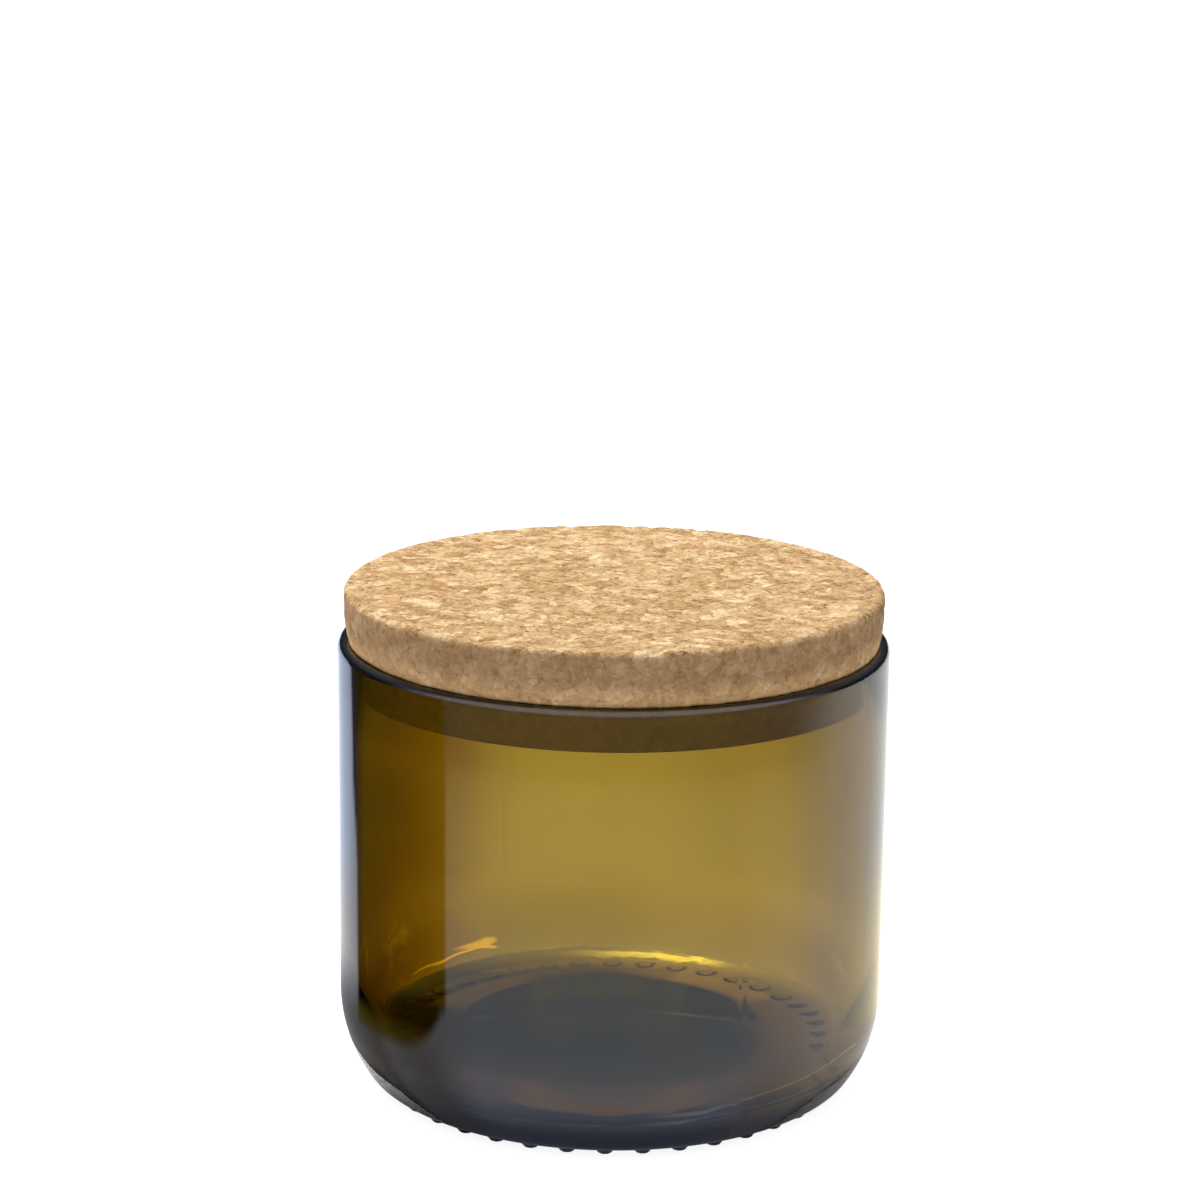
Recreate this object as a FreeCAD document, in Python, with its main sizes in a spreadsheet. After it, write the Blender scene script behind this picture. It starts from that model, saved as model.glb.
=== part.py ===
# A storage jar made from the foot of a bottle, with a tapered cork lid.
# Millimetres and degrees, +Z up. The origin is on the jar's axis, on the surface that the jar stands on.
import FreeCAD, Part
import math
import os
import Sketcher

SIZES = {
    # glass wall and its cut rim
    "body_diameter": 82,
    "wall_thickness": 2.5,
    "jar_height": 67.6,
    "rim_rounding": 1.1,
    # heel: a small arc leads out of the flat ring below, and a large one leads on into the wall
    "heel_height": 13.3,
    "heel_inset": 5.9,
    "heel_lower_radius": 2.9,
    # flat ring under the heel, and the shallow hollow inside it
    "bearing_width": 9.3,
    "push_up_rise": 3,
    "push_up_rounding": 6,
    # inside: the wall leans in towards a floor that is a little higher in the middle
    "inner_heel_height": 22,
    "floor_inset": 2.4,
    "floor_thickness": 3.4,
    "floor_rise": 2.5,
    "floor_corner_radius": 2.5,
    # small bars under the flat ring, with flat crowns that the jar stands on
    "knurl_count": 40,
    "knurl_height": 0.7,
    "knurl_length": 2.8,
    "knurl_width": 1.8,
    "knurl_inset": 1.1,
    "knurl_draft_angle": 45,
    "knurl_root": 0.6,
    "knurl_turn_angle": 8,
    # cork lid: a cone whose narrow end stands in the mouth
    "lid_above_rim": 8,
    "insert_depth": 6.6,
    "lid_taper_angle": 13.2,
    "lid_clearance": 0.1,
    "lid_top_rounding": 0.8,
    "lid_foot_rounding": 0.4,
}

# the radius of the mouth and of the flat ring's outer edge, as they follow from the sheet
MOUTH = "Sizes.body_diameter / 2 - Sizes.wall_thickness"
RING = "Sizes.body_diameter / 2 - Sizes.heel_inset"

# numbers by which a sketch knows its origin, its axes and the points of an edge
ORIGIN = (-1, 1)
ACROSS_AXIS, UP_AXIS = range(-1, -3, -1)
START, END, CENTRE = range(1, 4)

# corners nearer than this share of the body diameter are the same corner
SAME_CORNER_SHARE = 1e-5


def make_sheet(doc):
    # one row for each driving size: its name, its value and its alias
    sheet = doc.addObject("Spreadsheet::Sheet", "Sizes")
    for row, (name, value) in enumerate(SIZES.items(), start=1):
        sheet.set(f"A{row}", name)
        sheet.set(f"B{row}", str(value))
        sheet.setAlias(f"B{row}", name)
    doc.recompute()
    return sheet


def make_sketch(body, role, name):
    # a sketch on one of the body's own origin planes
    plane = next(f for f in body.Origin.OriginFeatures if f.Role == role)
    sketch = body.newObject("Sketcher::SketchObject", name)
    sketch.AttachmentSupport = [(plane, "")]
    sketch.MapMode = "FlatFace"
    return sketch


def point(x, y):
    return FreeCAD.Vector(x, y, 0)


def arc(centre, radius, first_angle, last_angle):
    circle = Part.Circle(centre, FreeCAD.Vector(0, 0, 1), radius)
    return Part.ArcOfCircle(circle, first_angle, last_angle)


def cap_arc(edge, top):
    # from the edge of a shallow dome up to its top, with the centre on the axis
    rise = top.y - edge.y
    radius = (edge.x**2 + rise**2) / (2 * rise)
    centre = point(0, top.y - radius)
    return arc(centre, radius, math.atan2(edge.y - centre.y, edge.x), math.pi / 2)


def relate(sketch, *relations):
    for relation in relations:
        sketch.addConstraint(Sketcher.Constraint(*relation))


def name_dimension(sketch, constraint, name, size):
    # the dimension follows the sheet from here on
    sketch.renameConstraint(sketch.addConstraint(constraint), name)
    sketch.setExpression(f"Constraints.{name}", size)


def across(sketch, name, size, first, last):
    span = sketch.getPoint(*last) - sketch.getPoint(*first)
    name_dimension(sketch, Sketcher.Constraint("DistanceX", *first, *last, span.x), name, size)


def upward(sketch, name, size, first, last):
    span = sketch.getPoint(*last) - sketch.getPoint(*first)
    name_dimension(sketch, Sketcher.Constraint("DistanceY", *first, *last, span.y), name, size)


def rounding(sketch, name, size, edge):
    radius = sketch.Geometry[edge].Radius
    name_dimension(sketch, Sketcher.Constraint("Radius", edge, radius), name, size)


def revolve(body, sketch, name):
    # one full turn about the jar's axis
    turned = body.newObject("PartDesign::Revolution", name)
    turned.Profile = sketch
    turned.ReferenceAxis = (sketch, ["V_Axis"])
    turned.Angle = 360
    body.Document.recompute()


def round_corners(body, name, size, sheet, *corners):
    # fillets the circles that these corners of the section make
    base = body.Tip
    near = SAME_CORNER_SHARE * sheet.body_diameter
    edges = []
    for index, edge in enumerate(base.Shape.Edges, start=1):
        if not edge.Degenerated and isinstance(edge.Curve, Part.Circle):
            place = point(edge.Curve.Radius, edge.Curve.Center.z)
            if any(place.distanceToPoint(corner) < near for corner in corners):
                edges.append(f"Edge{index}")
    fillet = body.newObject("PartDesign::Fillet", name)
    fillet.Base = (base, edges)
    fillet.setExpression("Radius", f"Sizes.{size}")
    body.Document.recompute()


def draw_jar_section(body, sheet):
    # half of the jar cut through its axis, drawn from the rim inwards and back up the outside
    outer = sheet.body_diameter / 2
    mouth = outer - sheet.wall_thickness
    ring = outer - sheet.heel_inset
    hollow = ring - sheet.bearing_width
    under = sheet.knurl_height
    floor = under + sheet.floor_thickness
    rim_outer = point(outer, sheet.jar_height)
    rim_inner = point(mouth, sheet.jar_height)
    bore_foot = point(mouth, sheet.inner_heel_height)
    floor_corner = point(mouth - sheet.floor_inset, floor)
    floor_top = point(0, floor + sheet.floor_rise)
    hollow_top = point(0, under + sheet.push_up_rise)
    hollow_edge = point(hollow, under)
    ring_edge = point(ring, under)
    wall_foot = point(outer, sheet.heel_height)
    # the large heel arc touches the wall at its foot, and the small arc from inside
    small = sheet.heel_lower_radius
    rise = sheet.heel_height - under - small
    large = (sheet.heel_inset**2 + rise**2 - small**2) / (2 * (sheet.heel_inset - small))
    small_centre = point(ring, under + small)
    large_centre = point(outer - large, sheet.heel_height)
    lean = math.atan2(small_centre.y - large_centre.y, small_centre.x - large_centre.x)
    # the inner heel arc touches the bore at its foot and ends at the floor
    drop = sheet.inner_heel_height - floor
    inner = (sheet.floor_inset**2 + drop**2) / (2 * sheet.floor_inset)
    inner_centre = point(mouth - inner, sheet.inner_heel_height)
    inner_lean = math.atan2(floor - inner_centre.y, floor_corner.x - inner_centre.x)

    sketch = make_sketch(body, "XZ_Plane", "jar_section")
    rim, bore, inner_heel, floor_arc, axis, hollow_arc, flat, low_heel, high_heel, wall = sketch.addGeometry(
        [
            Part.LineSegment(rim_outer, rim_inner),
            Part.LineSegment(rim_inner, bore_foot),
            arc(inner_centre, inner, inner_lean, 0),
            cap_arc(floor_corner, floor_top),
            Part.LineSegment(floor_top, hollow_top),
            cap_arc(hollow_edge, hollow_top),
            Part.LineSegment(hollow_edge, ring_edge),
            arc(small_centre, small, -math.pi / 2, lean),
            arc(large_centre, large, lean, 0),
            Part.LineSegment(wall_foot, rim_outer),
        ]
    )
    relate(
        sketch,
        ("Coincident", rim, END, bore, START),
        ("Tangent", bore, END, inner_heel, END),
        ("Coincident", inner_heel, START, floor_arc, START),
        ("Coincident", floor_arc, END, axis, START),
        ("Coincident", axis, END, hollow_arc, END),
        ("Coincident", hollow_arc, START, flat, START),
        ("Tangent", flat, END, low_heel, START),
        ("Tangent", low_heel, END, high_heel, START),
        ("Tangent", high_heel, END, wall, START),
        ("Coincident", wall, END, rim, START),
        ("Horizontal", rim),
        ("Horizontal", flat),
        ("Vertical", bore),
        ("Vertical", wall),
        ("PointOnObject", axis, START, UP_AXIS),
        ("PointOnObject", axis, END, UP_AXIS),
        ("PointOnObject", floor_arc, CENTRE, UP_AXIS),
        ("PointOnObject", hollow_arc, CENTRE, UP_AXIS),
    )
    across(sketch, "outer_radius", "Sizes.body_diameter / 2", ORIGIN, (rim, START))
    across(sketch, "wall", "Sizes.wall_thickness", (rim, END), (rim, START))
    across(sketch, "heel_inset", "Sizes.heel_inset", (flat, END), (wall, START))
    across(sketch, "floor_inset", "Sizes.floor_inset", (inner_heel, START), (bore, END))
    across(sketch, "bearing_width", "Sizes.bearing_width", (flat, START), (flat, END))
    upward(sketch, "rim_height", "Sizes.jar_height", ORIGIN, (rim, START))
    upward(sketch, "heel_height", "Sizes.heel_height", ORIGIN, (wall, START))
    upward(sketch, "ring_height", "Sizes.knurl_height", ORIGIN, (flat, START))
    upward(sketch, "hollow_rise", "Sizes.push_up_rise", (flat, START), (axis, END))
    upward(sketch, "inner_heel_height", "Sizes.inner_heel_height", ORIGIN, (bore, END))
    upward(sketch, "floor_thickness", "Sizes.floor_thickness", (flat, END), (inner_heel, START))
    upward(sketch, "floor_rise", "Sizes.floor_rise", (inner_heel, START), (axis, START))
    rounding(sketch, "low_heel", "Sizes.heel_lower_radius", low_heel)
    return sketch, {"rim": (rim_outer, rim_inner), "floor": floor_corner, "hollow": hollow_edge}


def draw_knurl_bar(body, sheet):
    # the crown of one bar, a slot that points away from the axis, in the plane that the jar stands on
    centre = sheet.body_diameter / 2 - sheet.heel_inset - sheet.knurl_inset
    end_radius = sheet.knurl_width / 2
    reach = sheet.knurl_length / 2 - end_radius
    inner = centre - reach
    outer = centre + reach

    sketch = make_sketch(body, "XY_Plane", "knurl_crown")
    sketch.setExpression("AttachmentOffset.Rotation.Angle", "Sizes.knurl_turn_angle")
    near_end, far_end, left_side, right_side = sketch.addGeometry(
        [
            arc(point(inner, 0), end_radius, math.pi / 2, 3 * math.pi / 2),
            arc(point(outer, 0), end_radius, -math.pi / 2, math.pi / 2),
            Part.LineSegment(point(outer, end_radius), point(inner, end_radius)),
            Part.LineSegment(point(inner, -end_radius), point(outer, -end_radius)),
        ]
    )
    relate(
        sketch,
        ("Tangent", near_end, START, left_side, END),
        ("Tangent", near_end, END, right_side, START),
        ("Tangent", far_end, START, right_side, END),
        ("Tangent", far_end, END, left_side, START),
        ("Equal", near_end, far_end),
        ("PointOnObject", near_end, CENTRE, ACROSS_AXIS),
        ("PointOnObject", far_end, CENTRE, ACROSS_AXIS),
    )
    middle = f"{RING} - Sizes.knurl_inset"
    half_reach = "(Sizes.knurl_length - Sizes.knurl_width) / 2"
    across(sketch, "near_end", f"{middle} - {half_reach}", ORIGIN, (near_end, CENTRE))
    across(sketch, "far_end", f"{middle} + {half_reach}", ORIGIN, (far_end, CENTRE))
    rounding(sketch, "end_radius", "Sizes.knurl_width / 2", near_end)
    return sketch


def make_jar(doc, sheet):
    body = doc.addObject("PartDesign::Body", "glass_jar")
    sketch, corners = draw_jar_section(body, sheet)
    revolve(body, sketch, "jar_shell")
    round_corners(body, "rim_rounding", "rim_rounding", sheet, *corners["rim"])
    round_corners(body, "floor_corner", "floor_corner_radius", sheet, corners["floor"])
    round_corners(body, "push_up_rounding", "push_up_rounding", sheet, corners["hollow"])

    # each bar widens from its crown up to a root inside the glass
    bar = body.newObject("PartDesign::Pad", "knurl_bar")
    bar.Profile = draw_knurl_bar(body, sheet)
    bar.setExpression("Length", "Sizes.knurl_height + Sizes.knurl_root")
    bar.setExpression("TaperAngle", "Sizes.knurl_draft_angle")
    doc.recompute()
    bars = body.newObject("PartDesign::PolarPattern", "knurl_ring")
    bars.Originals = [bar]
    bars.Axis = (bar.Profile[0], ["N_Axis"])
    bars.Angle = 360
    bars.setExpression("Occurrences", "Sizes.knurl_count")
    body.Tip = bars
    doc.recompute()
    return body


def draw_lid_section(body, sheet):
    # half of the lid cut through its axis, from the foot's middle out and up to the top's middle
    lean = math.tan(math.radians(sheet.lid_taper_angle))
    seat = sheet.body_diameter / 2 - sheet.wall_thickness - sheet.lid_clearance
    bottom = sheet.jar_height - sheet.insert_depth
    top = sheet.jar_height + sheet.lid_above_rim
    foot_corner = point(seat - sheet.insert_depth * lean, bottom)
    top_corner = point(seat + sheet.lid_above_rim * lean, top)

    sketch = make_sketch(body, "XZ_Plane", "lid_section")
    foot, side, crown, axis = sketch.addGeometry(
        [
            Part.LineSegment(point(0, bottom), foot_corner),
            Part.LineSegment(foot_corner, top_corner),
            Part.LineSegment(top_corner, point(0, top)),
            Part.LineSegment(point(0, top), point(0, bottom)),
        ]
    )
    relate(
        sketch,
        ("Coincident", foot, END, side, START),
        ("Coincident", side, END, crown, START),
        ("Coincident", crown, END, axis, START),
        ("Coincident", axis, END, foot, START),
        ("Horizontal", foot),
        ("Horizontal", crown),
        ("PointOnObject", axis, START, UP_AXIS),
        ("PointOnObject", axis, END, UP_AXIS),
    )
    seat_radius = f"{MOUTH} - Sizes.lid_clearance"
    below = "Sizes.insert_depth * tan(Sizes.lid_taper_angle)"
    above = "Sizes.lid_above_rim * tan(Sizes.lid_taper_angle)"
    across(sketch, "foot_radius", f"{seat_radius} - {below}", (foot, START), (foot, END))
    across(sketch, "top_radius", f"{seat_radius} + {above}", (crown, END), (crown, START))
    upward(sketch, "foot_height", "Sizes.jar_height - Sizes.insert_depth", ORIGIN, (foot, START))
    upward(sketch, "top_height", "Sizes.jar_height + Sizes.lid_above_rim", ORIGIN, (crown, END))
    return sketch, foot_corner, top_corner


def make_lid(doc, sheet):
    body = doc.addObject("PartDesign::Body", "cork_lid")
    sketch, foot_corner, top_corner = draw_lid_section(body, sheet)
    revolve(body, sketch, "lid_cone")
    round_corners(body, "top_rounding", "lid_top_rounding", sheet, top_corner)
    round_corners(body, "foot_rounding", "lid_foot_rounding", sheet, foot_corner)
    return body


def check(doc, bodies):
    # nothing is written unless every feature worked
    for feature in doc.Objects:
        if "Invalid" in feature.State or "Error" in feature.State:
            raise RuntimeError(f"{feature.Label} failed: {feature.State}")
    for body in bodies:
        if body.Shape.isNull() or not body.Shape.isValid():
            raise RuntimeError(f"{body.Label} has no valid shape")


def main():
    doc = FreeCAD.newDocument("cork_lid_jar")
    sheet = make_sheet(doc)
    bodies = [make_jar(doc, sheet), make_lid(doc, sheet)]
    check(doc, bodies)
    os.makedirs("parts", exist_ok=True)
    for body in bodies:
        body.Shape.exportStep(f"parts/{body.Label}.step")
        print(f"{body.Label}: {len(body.Shape.Solids)} solid, {body.Shape.Volume:.0f} mm3")


main()
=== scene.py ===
import math
import bpy
import numpy as np
from mathutils import Matrix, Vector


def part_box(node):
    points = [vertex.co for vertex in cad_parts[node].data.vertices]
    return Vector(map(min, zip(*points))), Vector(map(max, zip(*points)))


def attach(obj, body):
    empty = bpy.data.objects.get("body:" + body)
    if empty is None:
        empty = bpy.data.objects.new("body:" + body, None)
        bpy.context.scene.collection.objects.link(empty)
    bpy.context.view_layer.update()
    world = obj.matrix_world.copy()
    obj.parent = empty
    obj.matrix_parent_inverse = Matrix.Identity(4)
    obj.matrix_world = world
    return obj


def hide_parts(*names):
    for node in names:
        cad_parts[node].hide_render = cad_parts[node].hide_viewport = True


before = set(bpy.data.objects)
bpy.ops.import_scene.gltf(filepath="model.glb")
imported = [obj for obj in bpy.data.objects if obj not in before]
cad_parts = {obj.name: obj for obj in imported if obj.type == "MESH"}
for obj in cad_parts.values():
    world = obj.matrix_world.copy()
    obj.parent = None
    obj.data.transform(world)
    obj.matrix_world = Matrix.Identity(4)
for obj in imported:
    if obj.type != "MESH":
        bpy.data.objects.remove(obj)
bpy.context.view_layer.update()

mm = 0.001
jarHigh = np.array(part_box("glass_jar")[1]) / mm
lidLow, lidHigh = (np.array(corner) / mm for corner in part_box("cork_lid"))


# points along a straight run from a to b, the last one left out
def lineRun(a, b, count):
    share = np.linspace(0.0, 1.0, count, endpoint=False)[:, None]
    return np.array(a) + (np.array(b) - np.array(a)) * share


# points along a circular arc: centre plus radius times cosine and sine of the angle, the last one left out
def arcRun(centre, radius, start, end, count):
    angle = np.radians(np.linspace(start, end, count, endpoint=False))
    return np.array(centre) + radius * np.stack([np.cos(angle), np.sin(angle)], 1)


# cubic ease from 0 at low to 1 at high
def ease(value, low, high):
    share = np.clip((value - low) / (high - low), 0.0, 1.0)
    return share * share * (3.0 - 2.0 * share)


# the cubic ease up between the first two values, times the ease down between the last two
def easeBand(value, rise, full, fall, end):
    return ease(value, rise, full) * (1.0 - ease(value, fall, end))


# the sine of count times a value, pushed back and forth by sines of another value: size, count and start
def pushedSine(value, count, other, pushes):
    phase = count * value
    for size, turns, start in pushes:
        phase = phase + size * np.sin(turns * other + start)
    return np.sin(phase)


# a repeatable number from 0 to 1 for each whole-number cell and seed
def cellRandom(cell, seed):
    mixed = cell[..., 0] * 73856093 ^ cell[..., 1] * 19349663 ^ cell[..., 2] * 83492791 ^ seed * 2654435761
    mixed = (mixed ^ (mixed >> 13)) * 1274126177 & 0xFFFFFFFF
    mixed = (mixed ^ (mixed >> 16)) * 2246822519 & 0xFFFFFFFF
    return (mixed ^ (mixed >> 15)) / 4294967295.0


# distance to the nearest scattered seed, one seed per cubic cell, and that seed's random number
def cellField(points, size, seed):
    spot = points / size
    base = np.floor(spot).astype(np.int64)
    near = np.full(points.shape[:-1], np.inf)
    tone = np.zeros_like(near)
    for step in np.ndindex(3, 3, 3):
        cell = base + np.array(step) - 1
        seedSpot = cell + np.stack([cellRandom(cell, seed + axis) for axis in range(3)], -1)
        gap = np.linalg.norm(seedSpot - spot, axis=-1)
        tone = np.where(gap < near, cellRandom(cell, seed + 7), tone)
        near = np.minimum(near, gap)
    return near * size, tone


# the profile carried round the Z axis: radius times cosine and sine of the angle, height from the profile
def turnedGrid(profile, columns):
    angle = np.radians(np.arange(columns) * 360.0 / columns)
    radius = profile[:, 0][:, None]
    height = np.broadcast_to(profile[:, 1][:, None], (len(profile), columns))
    return np.stack([radius * np.cos(angle), radius * np.sin(angle), height], -1), angle


# unit normals of a turned profile: the profile's direction turned a quarter outward, swept round
def turnedNormals(profile, angle):
    along = np.gradient(profile, axis=0)
    along /= np.linalg.norm(along, axis=1, keepdims=True)
    out = -along[:, 1][:, None]
    up = np.broadcast_to(along[:, 0][:, None], (len(profile), len(angle)))
    return np.stack([out * np.cos(angle), out * np.sin(angle), up], -1)


# one closed mesh from a grid of rows and a point at each end of the axis, millimetres turned to metres
def closedMesh(name, grid, firstPole, lastPole):
    rows, columns = grid.shape[:2]
    points = np.concatenate([[firstPole], grid.reshape(-1, 3), [lastPole]]) * mm
    here = 1 + np.arange(rows * columns).reshape(rows, columns)
    turned = np.roll(here, -1, axis=1)
    quads = np.stack([here[:-1], here[1:], turned[1:], turned[:-1]], -1).reshape(-1, 4)
    first = np.stack([np.zeros(columns, int), here[0], turned[0]], -1)
    last = np.stack([np.full(columns, len(points) - 1), turned[-1], here[-1]], -1)
    corners = np.concatenate([quads.ravel(), first.ravel(), last.ravel()])
    starts = np.concatenate([np.arange(len(quads)) * 4, len(quads) * 4 + np.arange(2 * columns) * 3])
    mesh = bpy.data.meshes.new(name)
    mesh.vertices.add(len(points))
    mesh.vertices.foreach_set("co", points.ravel())
    mesh.loops.add(len(corners))
    mesh.loops.foreach_set("vertex_index", corners)
    mesh.polygons.add(len(starts))
    mesh.polygons.foreach_set("loop_start", starts)
    mesh.polygons.foreach_set("use_smooth", np.ones(len(starts), bool))
    mesh.update(calc_edges=True)
    mesh.validate()
    piece = bpy.data.objects.new(name, mesh)
    bpy.context.collection.objects.link(piece)
    return piece


# a plain number for each vertex of a closed mesh: first pole, grid, last pole, kept for its material
def storeNumber(piece, name, firstPole, values, lastPole):
    layer = piece.data.attributes.new(name, "FLOAT", "POINT")
    layer.data.foreach_set("value", np.concatenate([[firstPole], values.ravel(), [lastPole]]))


# a shader node with its plain values set by socket name
def makeNode(tree, kind, **inputs):
    node = tree.nodes.new("ShaderNode" + kind)
    for name, value in inputs.items():
        node.inputs[name.replace("_", " ")].default_value = value
    return node


# a wire from one node's output to another's input
def link(tree, source, target):
    tree.links.new(source, target)


# a number or colour set on a socket, or another node's output wired to it
def feed(tree, value, socket):
    if isinstance(value, tuple):
        socket.default_value = (*value, 1.0)
    elif isinstance(value, (int, float)):
        socket.default_value = value
    else:
        link(tree, value, socket)


# a math node fed in order by numbers or by other nodes' outputs
def mathNode(tree, operation, *values):
    node = makeNode(tree, "Math")
    node.operation = operation
    for socket, value in zip(node.inputs, values):
        feed(tree, value, socket)
    return node.outputs["Value"]


# a value carried in a straight line from one range to another and held at the ends
def rangeNode(tree, value, low, high, first, last):
    node = makeNode(tree, "MapRange", From_Min=low, From_Max=high, To_Min=first, To_Max=last)
    link(tree, value, node.inputs["Value"])
    return node.outputs["Result"]


# a number between two: first plus the factor times second less first
def mixNumber(tree, factor, first, second):
    node = makeNode(tree, "Mix")
    for place, value in ((0, factor), (2, first), (3, second)):
        feed(tree, value, node.inputs[place])
    return node.outputs[0]


# a colour between two by the factor, or with MULTIPLY the first times the second by the factor
def mixColour(tree, factor, first, second, blend="MIX"):
    node = makeNode(tree, "Mix")
    node.data_type = "RGBA"
    node.blend_type = blend
    for place, value in ((0, factor), (6, first), (7, second)):
        feed(tree, value, node.inputs[place])
    return node.outputs[2]


# a colour times a number
def scaleColour(tree, colour, factor):
    node = makeNode(tree, "VectorMath")
    node.operation = "SCALE"
    link(tree, colour, node.inputs[0])
    link(tree, factor, node.inputs["Scale"])
    return node.outputs["Vector"]


# a number or colour that the mesh holds for each vertex
def meshNode(tree, name):
    node = makeNode(tree, "Attribute")
    node.attribute_name = name
    return node


# fractal noise of the vector times the scale
def noiseNode(tree, vector, scale, detail):
    node = makeNode(tree, "TexNoise", Scale=scale, Detail=detail)
    link(tree, vector, node.inputs["Vector"])
    return node


# cells round scattered seeds, of the vector times the scale
def cellNode(tree, vector, scale, feature="F1"):
    node = makeNode(tree, "TexVoronoi", Scale=scale)
    node.feature = feature
    link(tree, vector, node.inputs["Vector"])
    return node


# a vector moved by the noise's colour times the reach
def warpNode(tree, vector, scale, detail, reach):
    drift = noiseNode(tree, vector, scale, detail)
    move = makeNode(tree, "VectorMath")
    move.operation = "MULTIPLY_ADD"
    link(tree, drift.outputs["Color"], move.inputs[0])
    move.inputs[1].default_value = (reach, reach, reach)
    link(tree, vector, move.inputs[2])
    return move.outputs["Vector"]


# jar sizes in mm and degrees, angles counted anticlockwise from the +X side
jarShape = {
    "columns": 720,
    "insideRows": (12, 20, 7, 4, 7, 3), "outsideRows": (8, 5, 30, 10, 20, 11),
    "skin": 0.02,  # how far the outer face stays inside the frame's box
    "wall": 2.5, "rimRounding": 1.1, "innerRimRounding": 0.6,
    "heelHeight": 13.3, "heelInset": 5.9, "heelLowerRadius": 2.9,
    "bearingWidth": 9.3, "ringRise": 0.7, "pushUpRise": 3.0,
    "floorEdge": 4.1, "floorRise": 2.5, "floorInset": 2.4, "innerHeelHeight": 22.0, "cornerRadius": 2.5,
    "knurls": 40, "knurlTurn": 8.0, "knurlInset": 1.1,
    "knurlLength": 2.8, "knurlWidth": 1.8, "knurlSpread": 0.7,
    "seamAngles": (-63.0, 117.0), "seamWidth": 0.4, "seamHeight": 0.07,
    "seamStart": 1.0, "seamEnd": (22.0, 34.0),
    "ringHeights": (5.2, 7.0), "ringHeight": 0.03, "ringWidth": 0.3,
    "floorWaves": 0.008, "wallWaves": 0.002, "waveLift": 3.2, "waveFrom": (12.0, 34.0),
    "waves": ((23.0, 1.0, 0.0), (37.0, -1.3, 1.0), (61.0, 0.0, 2.0), (5.0, 0.13, 0.0)),
    "floorFade": (7.0, 14.0), "calmBelowRim": 8.0,
    "ripple": 0.012, "rippleLift": 1.7, "rippleFrom": (32.5, 34.5), "rippleEnd": (6.0, 8.0),
    "ripples": ((1.0, 8.0, ((3.0, 7.0, 0.0), (2.0, 13.0, 1.0))), (0.7, 12.0, ((-2.5, 11.0, 2.0),))),
}

glassLook = {
    "ior": 1.52, "roughness": 0.0,
    "density": 900.0, "tint": (0.692, 0.6, 0.06),
}


# glass: clear refraction at the faces, colour taken up with the distance inside
def makeGlass():
    material = bpy.data.materials.new("amberGlass")
    material.use_nodes = True
    tree = material.node_tree
    shader = tree.nodes["Principled BSDF"]
    shader.inputs["Base Color"].default_value = (1.0, 1.0, 1.0, 1.0)
    shader.inputs["Roughness"].default_value = glassLook["roughness"]
    shader.inputs["IOR"].default_value = glassLook["ior"]
    shader.inputs["Transmission Weight"].default_value = 1.0
    inside = makeNode(tree, "VolumeAbsorption", Color=(*glassLook["tint"], 1.0), Density=glassLook["density"])
    link(tree, inside.outputs["Volume"], tree.nodes["Material Output"].inputs["Volume"])
    return material


# the point right of the line between two centres that lies at one distance from each
def meetPoint(first, firstRadius, second, secondRadius):
    gap = second - first
    span = np.linalg.norm(gap)
    along = (firstRadius ** 2 - secondRadius ** 2 + span ** 2) / (2.0 * span)
    off = math.sqrt(firstRadius ** 2 - along ** 2)
    unit = gap / span
    return first + along * unit + off * np.array([unit[1], -unit[0]])


# the angle of the line from one point to another, in degrees
def bearing(start, end):
    return math.degrees(math.atan2(end[1] - start[1], end[0] - start[0]))


# inside of the jar: floor dome, corner arc, inner heel arc, wall, inner rim arc and flat rim
def jarInside():
    shape = jarShape
    rows = shape["insideRows"]
    top = jarHigh[2]
    inner = jarHigh[0] - shape["wall"]
    outer = jarHigh[0] - shape["skin"]
    rim = shape["innerRimRounding"]
    corner = shape["cornerRadius"]
    floorR = inner - shape["floorInset"]
    domeRadius = (floorR ** 2 + shape["floorRise"] ** 2) / (2.0 * shape["floorRise"])
    domeCentre = np.array([0.0, shape["floorEdge"] + shape["floorRise"] - domeRadius])
    drop = shape["innerHeelHeight"] - shape["floorEdge"]
    heel = (drop ** 2 + shape["floorInset"] ** 2) / (2.0 * shape["floorInset"])
    heelCentre = np.array([inner - heel, shape["innerHeelHeight"]])
    cornerCentre = meetPoint(domeCentre, domeRadius + corner, heelCentre, heel - corner)
    domeEdge = bearing(domeCentre, cornerCentre)
    heelEnd = bearing(heelCentre, cornerCentre)
    return np.concatenate([
        arcRun(domeCentre, domeRadius, 90.0, domeEdge, rows[0])[1:],
        arcRun(cornerCentre, corner, domeEdge - 180.0, heelEnd, rows[1]),
        arcRun(heelCentre, heel, heelEnd, 0.0, rows[2]),
        lineRun((inner, shape["innerHeelHeight"]), (inner, top - rim), rows[3]),
        arcRun((inner + rim, top - rim), rim, 180.0, 90.0, rows[4]),
        lineRun((inner + rim, top), (outer - shape["rimRounding"], top), rows[5]),
    ])


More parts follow.
